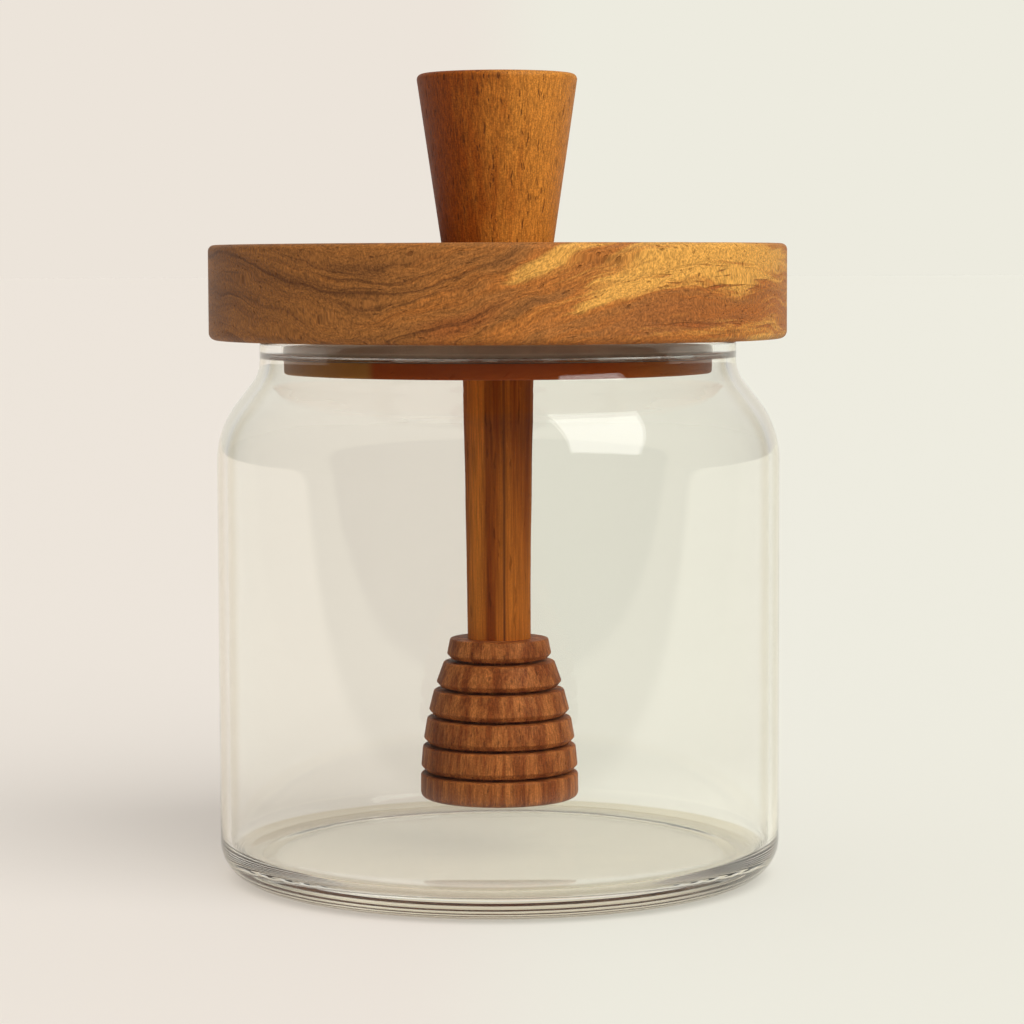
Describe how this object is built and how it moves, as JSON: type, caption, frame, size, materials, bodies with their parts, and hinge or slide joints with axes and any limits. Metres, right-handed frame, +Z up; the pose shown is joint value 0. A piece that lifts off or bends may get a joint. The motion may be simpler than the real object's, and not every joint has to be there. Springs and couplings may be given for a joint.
{
  "type": "honey jar",
  "caption": "Clear glass honey jar with a thick wooden lid, silicone seal, tapered knob and a ringed wooden dipper that hangs from the lid into the empty jar.",
  "frame": {"origin": "centre of the jar's base, on the surface it stands on", "axes": "+Z up along the jar's axis, through lid, knob and dipper; the part is turned, so X and Y are any two level directions"},
  "size_m": [0.1024, 0.1024, 0.1423],
  "materials": {
    "clear_glass": "clear, smooth and slightly warm",
    "silicone": "matt taupe silicone",
    "lid_wood": "oiled acacia with dark and golden bands",
    "knob_wood": "oiled acacia, upright grain",
    "stem_wood": "oiled acacia, dark streaks",
    "head_wood": "oiled acacia, reddish, upright grain"
  },
  "bodies": {
    "root": {"glass_jar": "clear_glass", "seal_ring": "silicone", "lid": "lid_wood", "knob": "knob_wood", "dipper_stem": "stem_wood", "dipper_head": "head_wood"}
  },
  "joints": []
}
